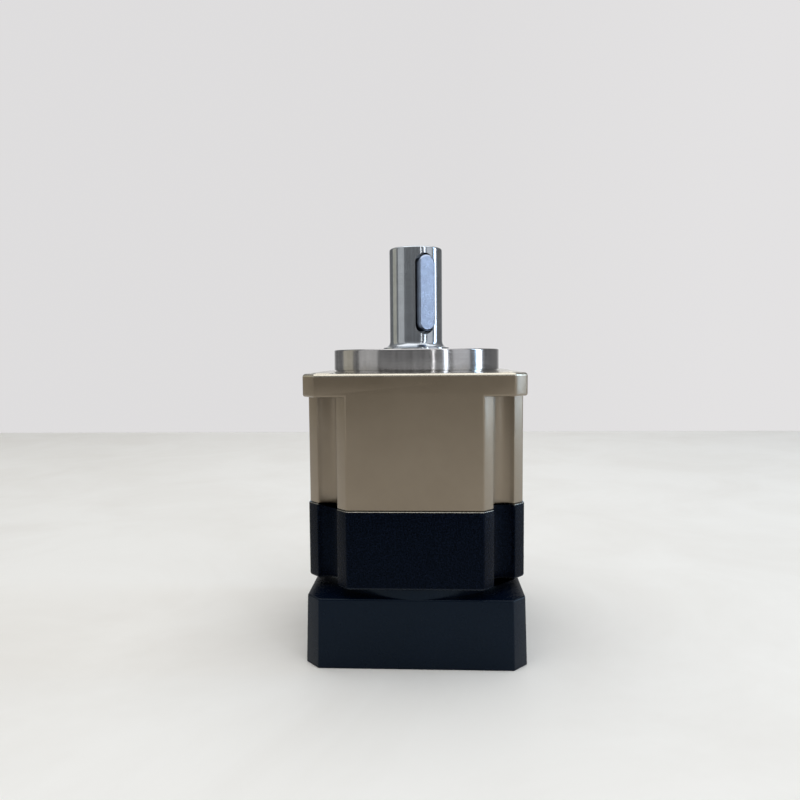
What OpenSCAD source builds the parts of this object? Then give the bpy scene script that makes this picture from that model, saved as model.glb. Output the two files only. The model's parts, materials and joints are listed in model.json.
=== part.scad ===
// Inline single-stage planetary gearbox with a keyed output shaft and a clamped motor input.
// The output shaft points along +Z. The origin is the centre of the motor face.

/* [Casing] */
// Width of the gearbox body across its flats
body_w = 60; // [60:0.5:61]
// How far the input housing stands proud of the body on each side
housing_proud = 0.4; // [0.2:0.1:0.6]
// Half width of the flat front panels
panel_half = 18.2; // [17.6:0.1:18.8]
// Radius of the head-room pockets at the four corners
pocket_r = 4.5; // [4.3:0.1:4.8]
// Diameter that the mounting flange's corners are turned to
flange_turned_d = 80; // [79:0.5:82]
// Thickness of the mounting flange
flange_t = 6.2; // [5.8:0.1:6.6]

/* [Heights] */
// Height of the motor adapter plate
adapter_h = 19; // [18.5:0.1:19.4]
// Gap between the adapter plate and the input housing
neck_h = 2.7; // [2.4:0.1:3]
// Height of the input housing
housing_h = 21.3; // [21.1:0.1:21.5]
// Height of the gearbox body with its flange
body_h = 36.5; // [36.3:0.1:36.7]
// Height of the pilot above the flange
pilot_h = 6.5; // [6.4:0.1:6.6]
// How far the shaft stands out of the pilot
shaft_free = 30.2; // [29.8:0.2:33]

/* [Mounting sizes] */
// Diameter of the pilot
pilot_d = 50; // [49.9:0.1:50.1]
// Diameter of the output shaft
shaft_d = 16; // [15.5:0.1:16.5]
// Pitch circle of the flange holes and of the motor screws
bolt_circle_d = 70; // [69.5:0.5:70.5]
// Diameter of the flange holes
flange_hole_d = 5.5; // [5.3:0.1:5.6]
// Diameter of the motor shaft bore
motor_bore_d = 14; // [13.8:0.1:14.2]
// Tapping diameter of the M5 threads
m5_tap_d = 4.2; // [4:0.1:4.4]
// Direction of the key, in degrees from the -Y side towards +X
key_turn = 21; // [0:1:90]

/* [Gear train] */
// Clearance cut from each tooth flank, measured along the pitch circle
flank_clearance = 0.035; // [0.03:0.005:0.06]

/* [Hidden] */
$fn = 96;

// Heights of the main faces, counted up from the motor face
neck_top = adapter_h + neck_h;
seam_z = neck_top + housing_h;
flange_top = seam_z + body_h;
flange_low = flange_top - flange_t;
pilot_top = flange_top + pilot_h;
collar_top = pilot_top + 0.6;
shaft_top = pilot_top + shaft_free;

// Clearances: pieces seated in one another, and pieces that run in one another
seat = 0.02;
running = 0.03;
// Overshoot that keeps cuts from ending on a face
over = 1;

half_w = body_w / 2;
housing_half = half_w + housing_proud;
bolt_xy = bolt_circle_d / 2 / sqrt(2);
shaft_r = shaft_d / 2;
pilot_r = pilot_d / 2;
motor_bore_r = motor_bore_d / 2;
edge_round = 0.9;
seam_edge = 0.35;

// M3 cap screws: thread, head, tapped hole, clearance hole and hexagon socket
m3_r = 1.45;
m3_head_r = 2.75;
m3_head_h = 2.95;
m3_tap_r = 1.5;
m3_hole_r = 1.6;
m3_socket = 2.5;

// Gear geometry. The sun gear and the planet gears have the same number of teeth.
gear_module = 0.8;
small_teeth = 18;
pressure_angle = 20;
pitch_r = gear_module * small_teeth / 2;
planet_orbit_r = 2 * pitch_r;
ring_teeth = 3 * small_teeth;
ring_pitch_r = gear_module * ring_teeth / 2;
planet_angles = [90, 210, 330];
pin_r = 2.5;
needle_r = 0.73;
needle_count = 12;
planet_bore_r = pin_r + 2 * needle_r + 0.06;

// Stack of parts along the axis, from the rear carrier plate to the seal
plate_low = 42.3;
plate_top = 45.9;
ring_low = 46.3;
planet_low = 46.4;
planet_top = 53.9;
disc_low = 54.4;
disc_top = 58;
ring_top = 56.4;
ring_shoulder = 56.5;
sleeve_low = 59.9;
body_neck_low = disc_top + 0.5;
body_neck_r = 17.3;
race_w = 9;
spacer_low = sleeve_low + race_w;
spacer_top = spacer_low + 2;
front_bearing_top = spacer_top + race_w;
seal_low = front_bearing_top + 1.5;
seal_seat_r = 16;
ring_outer_r = 26;
sleeve_r = 24;
carrier_r = 20.5;
carrier_room = 0.9;

// Recess in the flange that the pilot's foot stands in, and the gap round the foot
foot_depth = 0.8;
foot_gap = 0.3;
foot_z = flange_top - foot_depth;
// Relief turned into the pilot just above the flange face
relief_depth = 0.4;
relief_top = flange_top + 0.5;
pilot_edge = 0.4;
post_orbit_r = 16.5;
post_r = 3.4;

// Output bearings and input bearing
output_bore_r = 10;
output_race_r = 18.5;
input_bore_r = 12.5;
input_race_r = 21;
ball_r = 2.48;
groove_r = 2.56;
race_depth = 2.9;
ball_count = 10;
input_bearing_low = 27.2;
input_bearing_top = input_bearing_low + race_w;

// Each bearing as its bore radius, its outer radius and the height of its middle
rear_bearing = [output_bore_r, output_race_r, sleeve_low + race_w / 2];
front_bearing = [output_bore_r, output_race_r, spacer_top + race_w / 2];
input_bearing = [input_bore_r, input_race_r, input_bearing_low + race_w / 2];

// Retaining rings: thickness, and the grooves they spring into
clip_w = 1.1;
clip_groove_w = 1.2;
shaft_groove_r = 9.3;
hub_groove_r = 11.8;
housing_groove_r = 22;

// Input side
hub_low = 4;
clamp_top = 15.3;
clamp_r = 10;
hub_flange_r = 13.5;
hub_top = 39;
motor_bore_depth = 29;
stem_r = 5;
stem_low = hub_low + motor_bore_depth + 0.5;
collar_low = 4.8;
collar_high = 14.8;
collar_r = 17;
clamp_screw_r = 2;
clamp_head_r = 3.5;
clamp_screw_x = 13.4;
clamp_screw_z = (collar_low + collar_high) / 2;
cavity_r = 18.6;
recess_r = pilot_r;
recess_h = 3.5;
adapter_screw_orbit_r = 22;
adapter_screw_top = 26.3;
adapter_draft = 0.5;
adapter_panel_half = 26.3;
plug_r = 5;
adapter_head_low = 12;
housing_screw_xy = [14, 25.5];
housing_head_room = 3.5;
input_seal_r = 18;
carrier_pit_low = 37.8;
carrier_pit_r = 22.4;
neck_r = 29.5;

// O-ring and its groove round the housing's spigot
o_ring_r = 0.55;
o_ring_groove_r = 24.85;
o_ring_groove_low = seam_z + 1;
o_ring_groove_top = o_ring_groove_low + 1.4;

// Key and keyway
key_w = 5;
key_h = 5;
key_l = 22;
key_depth = 3;
slot_l = 23;
slot_end_gap = 2.4;
slot_middle = shaft_top - slot_end_gap - slot_l / 2;

steel = [0.62, 0.63, 0.65];
bearing_steel = [0.72, 0.73, 0.76];
champagne = [0.47, 0.43, 0.37];
satin_black = [0.06, 0.07, 0.09];

// Points of an arc about (cx, cz), for rounded outlines
function arc(cx, cz, r, from, to, steps) = [
    for (i = [0:steps])
        let (a = from + (to - from) * i / steps)
        [cx + r * cos(a), cz + r * sin(a)]
];

// Involute of an angle, in degrees
function involute(angle) = tan(angle) * 180 / PI - angle;

// Half the angle that a tooth spans at radius r. A positive shrink makes the tooth thinner.
function tooth_half_angle(teeth, r, shrink) =
    let (rp = gear_module * teeth / 2, rb = rp * cos(pressure_angle))
    90 / teeth - shrink / rp * 180 / PI + involute(pressure_angle) - involute(acos(min(1, rb / r)));

// Outline of a gear whose first tooth points along turn
function gear_points(teeth, root_r, tip_r, shrink, turn) =
    let (
        rb = gear_module * teeth / 2 * cos(pressure_angle),
        flank_low = max(root_r, rb),
        radii = [for (i = [0:4]) flank_low + (tip_r - flank_low) * i / 4],
        rising = root_r < rb ? concat([root_r], radii) : radii,
        count = len(rising)
    )
    [for (t = [0:teeth - 1], s = [0:2 * count - 1])
        let (
            up = s < count,
            r = up ? rising[s] : rising[2 * count - 1 - s],
            half = tooth_half_angle(teeth, max(r, flank_low), shrink),
            a = turn + t * 360 / teeth + (up ? -half : half)
        )
        [r * cos(a), r * sin(a)]];

// Solid with the given side outline, straight in depth along Y
module side_slab(points, depth) {
    rotate([90, 0, 0])
        linear_extrude(2 * depth, center = true)
            polygon(points);
}

// Square block whose four sides all have the given outline
module square_block(points, depth) {
    intersection() {
        side_slab(points, depth);
        rotate(90)
            side_slab(points, depth);
    }
}

// Side outline with chamfers of its own at the low and the high edge
function chamfered_side(half, low, high, low_edge, high_edge) = [
    [-half + low_edge, low], [half - low_edge, low], [half, low + low_edge], [half, high - high_edge],
    [half - high_edge, high], [-half + high_edge, high], [-half, high - high_edge], [-half, low + low_edge]
];

// Side outline with rounded edges
function rounded_side(half, low, high, low_round, high_round) = concat(
    arc(-half + low_round, low + low_round, low_round, 180, 270, 4),
    arc(half - low_round, low + low_round, low_round, 270, 360, 4),
    arc(half - high_round, high - high_round, high_round, 0, 90, 4),
    arc(-half + high_round, high - high_round, high_round, 90, 180, 4)
);

// Section of the casing: a square with its corners cut at 45 degrees
module casing_block(half, low, high, low_edge, high_edge) {
    corner_flat = (panel_half + half) / sqrt(2);
    intersection() {
        square_block(chamfered_side(half, low, high, low_edge, high_edge), half + over);
        rotate(45)
            square_block(chamfered_side(corner_flat, low, high, low_edge, high_edge), half * 1.5);
    }
}

// Runs its children at the four flange-hole positions
module at_corners() {
    for (sx = [-1, 1], sy = [-1, 1])
        translate([sx * bolt_xy, sy * bolt_xy, 0])
            children();
}

// Runs its children at the four housing-screw positions
module at_housing_screws() {
    for (sx = [-1, 1], sy = [-1, 1])
        translate([sx * housing_screw_xy[0], sy * housing_screw_xy[1], 0])
            children();
}

// Runs its children at the four adapter-screw positions
module at_adapter_screws() {
    for (a = [0, 90, 180, 270])
        rotate(a)
            translate([adapter_screw_orbit_r, 0, 0])
                children();
}

// Runs its children at the three carrier posts, half-way between the planets
module at_posts() {
    for (a = planet_angles)
        rotate(a + 60)
            translate([post_orbit_r, 0, 0])
                children();
}

// Runs its children at the three planet pins
module at_planets() {
    for (a = planet_angles)
        rotate(a)
            translate([planet_orbit_r, 0, 0])
                children();
}

// Upright cylinder between two heights
module post(r, low, high) {
    translate([0, 0, low])
        cylinder(r = r, h = high - low);
}

// Upright cone between two heights
module cone(low_r, high_r, low, high) {
    translate([0, 0, low])
        cylinder(r1 = low_r, r2 = high_r, h = high - low);
}

// Tube between two heights
module tube(inner_r, outer_r, low, high) {
    difference() {
        post(outer_r, low, high);
        post(inner_r, low - over, high + over);
    }
}

// Socket cap screw with its head at the low end
module cap_screw(r, head_r, head_low, head_h, tip, socket) {
    difference() {
        union() {
            post(r, head_low + head_h / 2, tip);
            post(head_r, head_low, head_low + head_h);
        }
        translate([0, 0, head_low - over])
            cylinder(d = socket / cos(30), h = head_h * 0.55 + over, $fn = 6);
    }
}

// ---- Casing ----

module gearbox_body() {
    color(champagne)
        difference() {
            union() {
                difference() {
                    casing_block(half_w, seam_z, flange_low + 1, seam_edge, 0);
                    at_corners()
                        post(pocket_r, seam_z - over, flange_low + 2);
                }
                flange();
            }
            post(ring_outer_r, seam_z - over, ring_shoulder);
            post(carrier_r + carrier_room, ring_shoulder - over, body_neck_low);
            post(body_neck_r, disc_top, sleeve_low + over);
            post(sleeve_r, sleeve_low, flange_top + over);
            post(pilot_r + foot_gap, foot_z, flange_top + over);
            at_corners()
                post(flange_hole_d / 2, flange_low - over, flange_top + over);
            at_housing_screws()
                post(m3_tap_r, seam_z - over, seam_z + 7.5);
        }
}

// Mounting flange: a square plate with turned corners and rounded edges
module flange() {
    turned_r = flange_turned_d / 2;
    intersection() {
        square_block(rounded_side(half_w, flange_low, flange_top, 0.4, edge_round), half_w + over);
        rotate_extrude()
            polygon(concat(
                [[0, flange_low], [turned_r - edge_round, flange_low], [turned_r, flange_low + edge_round]],
                arc(turned_r - edge_round, flange_top - edge_round, edge_round, 0, 90, 4),
                [[0, flange_top]]
            ));
    }
}

module pilot_sleeve() {
    color(steel)
        rotate_extrude()
            polygon([
                [output_race_r + seat, sleeve_low + 0.02], [sleeve_r - 0.3 - seat, sleeve_low + 0.02],
                [sleeve_r - seat, sleeve_low + 0.3], [sleeve_r - seat, foot_z + seat],
                [pilot_r - relief_depth, foot_z + seat], [pilot_r - relief_depth, relief_top],
                [pilot_r, relief_top + 0.2], [pilot_r, pilot_top - pilot_edge],
                [pilot_r - pilot_edge, pilot_top],
                [seal_seat_r + 0.3, pilot_top], [seal_seat_r, pilot_top - 0.3],
                [seal_seat_r, seal_low], [seal_seat_r - 0.6, seal_low],
                [seal_seat_r - 0.6, front_bearing_top + seat],
                [output_race_r + seat, front_bearing_top + seat]
            ]);
}

module ring_gear() {
    turn = planet_angles[0] + 180 / ring_teeth;
    color(steel)
        difference() {
            post(ring_outer_r - seat, ring_low, ring_top);
            translate([0, 0, ring_low - over])
                linear_extrude(ring_top - ring_low + 2 * over)
                    polygon(gear_points(
                        ring_teeth, ring_pitch_r - 0.75 * gear_module, ring_pitch_r + 1.25 * gear_module,
                        -flank_clearance, turn
                    ));
        }
}

// ---- Output shaft and planet carrier ----

module output_shaft() {
    color(steel)
        difference() {
            union() {
                rotate_extrude()
                    polygon(output_shaft_side());
                at_posts()
                    post(post_r, plate_top + seat, disc_low + 0.5);
            }
            keyway();
            at_planets()
                post(pin_r, disc_low - over, disc_top + over);
            at_posts()
                post(m3_tap_r, plate_top - over, plate_top + 7);
            post(m5_tap_d / 2, shaft_top - 12.5, shaft_top + over);
            cone(m5_tap_d / 2, m5_tap_d / 2 + 1.4, shaft_top - 0.7, shaft_top + 0.7);
        }
}

// Side outline of the shaft, from the carrier disc up to the free end. The collar that the seal
// runs on flows into the shaft through a hollow curve.
function output_shaft_side() =
    let (
        groove_low = front_bearing_top + 0.05,
        groove_top = groove_low + clip_groove_w,
        flare_r = output_bore_r - shaft_r,
        end_edge = 0.8
    )
    concat(
        [
            [0, disc_low], [carrier_r - 0.3, disc_low], [carrier_r, disc_low + 0.3],
            [carrier_r, disc_top - 0.3], [carrier_r - 0.3, disc_top],
            [output_bore_r + 2, disc_top], [output_bore_r + 2, sleeve_low],
            [output_bore_r - seat, sleeve_low], [output_bore_r - seat, groove_low],
            [shaft_groove_r, groove_low],
            [shaft_groove_r, groove_top], [output_bore_r, groove_top]
        ],
        arc(output_bore_r, collar_top + flare_r, flare_r, 270, 180, 6),
        [[shaft_r, shaft_top - end_edge], [shaft_r - end_edge, shaft_top], [0, shaft_top]]
    );

// Round-ended bar lying along Z at the keyway's place, from inner_r out to outer_r
module round_ended_bar(width, length, inner_r, outer_r) {
    rotate(key_turn - 90)
        translate([inner_r, 0, slot_middle - length / 2])
            rotate([90, 0, 90])
                linear_extrude(outer_r - inner_r)
                    union() {
                        translate([-width / 2, width / 2])
                            square([width, length - width]);
                        translate([0, width / 2])
                            circle(d = width);
                        translate([0, length - width / 2])
                            circle(d = width);
                    }
}

module keyway() {
    round_ended_bar(key_w, slot_l, shaft_r - key_depth, shaft_r + over);
}

module output_key() {
    slot_floor_r = shaft_r - key_depth;
    color(bearing_steel)
        round_ended_bar(key_w - 2 * seat, key_l, slot_floor_r + seat, slot_floor_r + key_h);
}

module carrier_rear_plate() {
    color(steel)
        difference() {
            post(carrier_r - 0.1, plate_low, plate_top);
            post(pitch_r + 1.5, plate_low - over, plate_top + over);
            at_planets()
                post(pin_r, plate_low - over, plate_top + over);
            at_posts() {
                post(m3_hole_r, plate_low - over, plate_top + over);
                cone(3.3, m3_hole_r, plate_low - 0.3, plate_low + 1.4);
            }
        }
}

module carrier_screws() {
    color(bearing_steel)
        at_posts()
            difference() {
                union() {
                    cone(2.9, m3_r, plate_low + 0.1, plate_low + 1.5);
                    post(m3_r, plate_low + 1, plate_top + 6.5);
                }
                translate([0, 0, plate_low - over])
                    cylinder(d = 2 / cos(30), h = over + 1.1, $fn = 6);
            }
}

module planet_pins() {
    r = pin_r - seat;
    low = plate_low + 0.2;
    high = disc_top - 0.2;
    edge = 0.3;
    color(bearing_steel)
        at_planets()
            rotate_extrude()
                polygon([
                    [0, low], [r - edge, low], [r, low + edge],
                    [r, high - edge], [r - edge, high], [0, high]
                ]);
}

module planet_washers() {
    color("goldenrod")
        at_planets() {
            tube(pin_r + seat, 5.4, plate_top + seat, planet_low - 0.1);
            tube(pin_r + seat, 5.4, planet_top + 0.1, disc_low - seat);
        }
}

// One planet gear, with a tooth gap facing the sun and another facing the ring gear
module planet_gear(index) {
    a = planet_angles[index];
    color(steel)
        translate([planet_orbit_r * cos(a), planet_orbit_r * sin(a), 0])
            difference() {
                translate([0, 0, planet_low])
                    linear_extrude(planet_top - planet_low)
                        polygon(gear_points(
                            small_teeth, pitch_r - 1.25 * gear_module, pitch_r + gear_module,
                            flank_clearance, a + 180 / small_teeth
                        ));
                post(planet_bore_r, planet_low - over, planet_top + over);
            }
}

// Loose needle rollers between one planet gear and its pin
module planet_needles(index) {
    a = planet_angles[index];
    color(bearing_steel)
        translate([planet_orbit_r * cos(a), planet_orbit_r * sin(a), 0])
            for (i = [0:needle_count - 1])
                rotate(i * 360 / needle_count)
                    translate([(pin_r + planet_bore_r) / 2, 0, 0])
                        post(needle_r, planet_low + 0.3, planet_top - 0.3);
}

// ---- Ball bearings ----

// Radius of the circle that a bearing's balls run on
function ball_orbit_r(bearing) = (bearing[0] + bearing[1]) / 2;

// Torus that the balls' grooves are cut with
module ball_groove(bearing) {
    translate([0, 0, bearing[2]])
        rotate_extrude()
            translate([ball_orbit_r(bearing), 0])
                circle(r = groove_r);
}

// Balls of a bearing, or with a larger radius the pockets of its cage
module ball_circle(bearing, r) {
    for (i = [0:ball_count - 1])
        rotate(i * 360 / ball_count)
            translate([ball_orbit_r(bearing), 0, bearing[2]])
                sphere(r = r);
}

// Race with the outline of a plain ring, chamfered where it meets its seat
module inner_race(bearing) {
    bore_r = bearing[0];
    low = bearing[2] - race_w / 2 + seat;
    high = bearing[2] + race_w / 2 - seat;
    color(bearing_steel)
        difference() {
            rotate_extrude()
                polygon([
                    [bore_r + 0.4, low], [bore_r + race_depth, low], [bore_r + race_depth, high],
                    [bore_r + 0.4, high], [bore_r, high - 0.4], [bore_r, low + 0.4]
                ]);
            ball_groove(bearing);
        }
}

module outer_race(bearing) {
    outer_r = bearing[1];
    low = bearing[2] - race_w / 2 + seat;
    high = bearing[2] + race_w / 2 - seat;
    color(bearing_steel)
        difference() {
            rotate_extrude()
                polygon([
                    [outer_r - race_depth, low], [outer_r - 0.4, low], [outer_r, low + 0.4],
                    [outer_r, high - 0.4], [outer_r - 0.4, high], [outer_r - race_depth, high]
                ]);
            ball_groove(bearing);
        }
}

module bearing_balls(bearing) {
    color("white")
        ball_circle(bearing, ball_r);
}

module bearing_cage(bearing) {
    orbit_r = ball_orbit_r(bearing);
    half_t = 0.8;
    half_h = 3.3;
    color("goldenrod")
        difference() {
            tube(orbit_r - half_t, orbit_r + half_t, bearing[2] - half_h, bearing[2] + half_h);
            ball_circle(bearing, ball_r + 0.06);
        }
}

module bearing_spacer() {
    color(steel)
        tube(output_bore_r + seat, output_bore_r + 2.2, spacer_low + seat, spacer_top - seat);
}

// Open spring ring in a groove, with its gap at +X
module retaining_ring(inner_r, outer_r, low) {
    gap = 2.4;
    color(steel)
        difference() {
            tube(inner_r, outer_r, low, low + clip_w);
            translate([inner_r - over, -gap / 2, low - over])
                cube([outer_r - inner_r + 2 * over, gap, clip_w + 2 * over]);
        }
}

module shaft_retaining_ring() {
    retaining_ring(shaft_groove_r + 0.05, output_bore_r + 2, front_bearing_top + 0.1);
}

module output_seal() {
    lip_r = output_bore_r + running;
    color("black")
        rotate_extrude()
            polygon([
                [seal_seat_r - seat, seal_low + 0.1], [seal_seat_r - seat, pilot_top - 0.3],
                [lip_r + 1, pilot_top - 0.3],
                [lip_r, pilot_top - 1], [lip_r + 0.5, pilot_top - 1.6], [lip_r, pilot_top - 2.8],
                [lip_r + 0.9, pilot_top - 3.6], [lip_r + 1.9, pilot_top - 3.6],
                [lip_r + 2, pilot_top - 1.6], [seal_seat_r - 1, pilot_top - 1.6],
                [seal_seat_r - 1, seal_low + 0.1]
            ]);
}

// ---- Input housing ----

module input_housing() {
    low_edge = 0.8;
    lip = 0.4;
    color(satin_black)
        difference() {
            union() {
                difference() {
                    casing_block(housing_half, neck_top, seam_z - 0.06, low_edge, 0.3);
                    at_corners() {
                        post(pocket_r, neck_top - over, seam_z + over);
                        cone(pocket_r + 2 * lip, pocket_r, neck_top - lip, neck_top + lip);
                    }
                }
                post(ring_outer_r - seat - 0.01, seam_z - over, ring_low - 0.1);
            }
            post(input_seal_r, neck_top - over, input_bearing_low + over);
            post(input_race_r, input_bearing_low, carrier_pit_low + over / 2);
            post(housing_groove_r, input_bearing_top + 0.1, input_bearing_top + 0.1 + clip_groove_w);
            post(carrier_pit_r, carrier_pit_low, ring_low + over);
            tube(o_ring_groove_r, ring_outer_r + over, o_ring_groove_low, o_ring_groove_top);
            at_housing_screws() {
                post(m3_hole_r, neck_top - over, seam_z + over);
                post(m3_head_r + 0.25, neck_top - over, neck_top + housing_head_room);
            }
            at_adapter_screws()
                post(m3_tap_r, neck_top - over, adapter_screw_top);
        }
}

module housing_o_ring() {
    color("black")
        translate([0, 0, (o_ring_groove_low + o_ring_groove_top) / 2])
            rotate_extrude()
                translate([o_ring_groove_r + o_ring_r + 0.01, 0])
                    circle(r = o_ring_r);
}

module housing_screws() {
    head_low = neck_top + housing_head_room - m3_head_h - 0.05;
    color(bearing_steel)
        at_housing_screws()
            cap_screw(m3_r, m3_head_r, head_low, m3_head_h, seam_z + 7, m3_socket);
}

// ---- Input hub ----

module input_hub() {
    race_seat_r = input_bore_r - seat;
    groove_low = input_bearing_top + 0.05;
    slot_w = 1.2;
    slot_h = 10.6;
    color(steel)
        difference() {
            rotate_extrude()
                polygon([
                    [0, hub_low], [clamp_r - 0.3, hub_low], [clamp_r, hub_low + 0.3], [clamp_r, clamp_top],
                    [hub_flange_r, clamp_top], [hub_flange_r, input_bearing_low],
                    [race_seat_r, input_bearing_low], [race_seat_r, groove_low],
                    [hub_groove_r, groove_low], [hub_groove_r, groove_low + clip_groove_w],
                    [race_seat_r, groove_low + clip_groove_w], [race_seat_r, hub_top - 0.5],
                    [input_bore_r - 0.5, hub_top], [0, hub_top]
                ]);
            post(motor_bore_r, hub_low - over, hub_low + motor_bore_depth);
            post(stem_r, hub_low + motor_bore_depth - over, hub_top + over);
            for (a = [45, 135])
                rotate(a)
                    translate([-clamp_r - over, -slot_w / 2, hub_low - over])
                        cube([2 * clamp_r + 2 * over, slot_w, slot_h + over]);
        }
}

module sun_gear() {
    color(steel)
        union() {
            post(stem_r - seat, stem_low, hub_top + over);
            post(pitch_r - 1.3 * gear_module, hub_top + 0.1, planet_low);
            translate([0, 0, planet_low - 0.2])
                linear_extrude(planet_top - planet_low + 0.3)
                    polygon(gear_points(
                        small_teeth, pitch_r - 1.25 * gear_module, pitch_r + gear_module,
                        flank_clearance, planet_angles[0]
                    ));
        }
}

// Split collar round the hub's slotted end. Its screw crosses the split.
module clamp_collar() {
    split_w = 1.6;
    color([0.2, 0.2, 0.22])
        difference() {
            rotate_extrude()
                polygon([
                    [clamp_r + seat, collar_low], [collar_r - 0.5, collar_low],
                    [collar_r, collar_low + 0.5], [collar_r, collar_high - 0.5],
                    [collar_r - 0.5, collar_high], [clamp_r + seat, collar_high]
                ]);
            translate([clamp_r - over, -split_w / 2, collar_low - over])
                cube([collar_r - clamp_r + 2 * over, split_w, collar_high - collar_low + 2 * over]);
            translate([clamp_screw_x, collar_r, clamp_screw_z])
                rotate([90, 0, 0]) {
                    post(clamp_screw_r + running, 0, 2 * collar_r - 7);
                    post(clamp_head_r + 0.1, 0, collar_r - 3.2);
                }
        }
}

module clamp_screw() {
    head_y = 7.2;
    color(bearing_steel)
        translate([clamp_screw_x, head_y, clamp_screw_z])
            rotate([90, 0, 0])
                cap_screw(clamp_screw_r, clamp_head_r, 0, 3.98, head_y + 8, 3);
}

module hub_retaining_ring() {
    retaining_ring(hub_groove_r + 0.05, hub_groove_r + 2.4, input_bearing_top + 0.1);
}

module housing_retaining_ring() {
    retaining_ring(housing_groove_r - 2.8, housing_groove_r - seat, input_bearing_top + 0.15);
}

module input_seal() {
    lip_r = hub_flange_r + running;
    low = neck_top + 0.2;
    color("black")
        rotate_extrude()
            polygon([
                [input_seal_r - seat, low], [input_seal_r - seat, low + 4.8],
                [input_seal_r - 1, low + 4.8], [input_seal_r - 1, low + 1.2],
                [lip_r + 1.5, low + 1.2], [lip_r + 1.5, low + 2.8], [lip_r + 0.7, low + 3.4],
                [lip_r, low + 2.4], [lip_r + 0.4, low + 1], [lip_r, low + 0.5], [lip_r + 0.6, low]
            ]);
}

// ---- Motor adapter ----

module motor_adapter() {
    top_half = half_w - adapter_draft * 0.6;
    low_half = half_w + adapter_draft * 0.4;
    corner_step = (half_w + adapter_panel_half) / sqrt(2) - half_w;
    color([0.09, 0.1, 0.13])
        difference() {
            union() {
                intersection() {
                    square_block(drafted_side(low_half, top_half), half_w + 2);
                    rotate(45)
                        square_block(
                            drafted_side(low_half + corner_step, top_half + corner_step),
                            half_w * 1.5
                        );
                }
                post(neck_r, adapter_h - over, neck_top);
            }
            post(recess_r, -over, recess_h);
            post(cavity_r, recess_h - over, neck_top + over);
            at_corners()
                post(m5_tap_d / 2, -over, 14);
            at_adapter_screws() {
                post(m3_hole_r, recess_h - over, neck_top + over);
                post(m3_head_r + 0.15, recess_h - over, adapter_head_low + m3_head_h + 0.05);
            }
            translate([clamp_screw_x, half_w + 2, clamp_screw_z])
                rotate([90, 0, 0]) {
                    post(plug_r - 1, 0, half_w - 8);
                    post(plug_r, 0, 6);
                }
        }
}

// Side outline of the adapter: slightly wider at the motor face, with small bevels at both ends
function drafted_side(low_half, top_half) = [
    [-low_half + 0.3, 0], [low_half - 0.3, 0], [low_half, 0.3], [top_half, adapter_h - 0.4],
    [top_half - 0.4, adapter_h], [-top_half + 0.4, adapter_h],
    [-top_half, adapter_h - 0.4], [-low_half, 0.3]
];

module adapter_screws() {
    color(bearing_steel)
        at_adapter_screws()
            cap_screw(m3_r, m3_head_r, adapter_head_low, m3_head_h, adapter_screw_top - 0.3, m3_socket);
}

// Rubber plug that closes the hole through which the clamp screw is turned
module access_plug() {
    face_y = half_w - 0.4;
    shoulder_y = 26.05;
    end_y = 20;
    color("black")
        translate([clamp_screw_x, face_y, clamp_screw_z])
            rotate([90, 0, 0])
                difference() {
                    union() {
                        post(plug_r - 0.1, 0, face_y - shoulder_y);
                        post(plug_r - 1.1, 0, face_y - end_y);
                    }
                    translate([-2.5, -0.5, -over])
                        cube([5, 1, over + 0.8]);
                }
}

gearbox_body();
pilot_sleeve();
ring_gear();
output_shaft();
output_key();
carrier_rear_plate();
carrier_screws();
planet_pins();
planet_washers();
planet_gear(0);  // planet_gear_1
planet_gear(1);  // planet_gear_2
planet_gear(2);  // planet_gear_3
planet_needles(0);  // planet_needles_1
planet_needles(1);  // planet_needles_2
planet_needles(2);  // planet_needles_3
inner_race(front_bearing);  // front_bearing_inner_race
outer_race(front_bearing);  // front_bearing_outer_race
bearing_balls(front_bearing);  // front_bearing_balls
bearing_cage(front_bearing);  // front_bearing_cage
inner_race(rear_bearing);  // rear_bearing_inner_race
outer_race(rear_bearing);  // rear_bearing_outer_race
bearing_balls(rear_bearing);  // rear_bearing_balls
bearing_cage(rear_bearing);  // rear_bearing_cage
bearing_spacer();
shaft_retaining_ring();
output_seal();
input_housing();
housing_o_ring();
housing_screws();
input_hub();
sun_gear();
clamp_collar();
clamp_screw();
inner_race(input_bearing);  // input_bearing_inner_race
outer_race(input_bearing);  // input_bearing_outer_race
bearing_balls(input_bearing);  // input_bearing_balls
bearing_cage(input_bearing);  // input_bearing_cage
hub_retaining_ring();
housing_retaining_ring();
input_seal();
motor_adapter();
adapter_screws();
access_plug();
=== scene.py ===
"""Planetary gearbox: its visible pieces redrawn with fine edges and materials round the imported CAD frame.

The gearbox stands on its motor face at the origin, with the output shaft along +Z and its front at -Y.
"""
import json
import math

import bmesh
import bpy
from mathutils import Euler, Matrix, Vector


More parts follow.
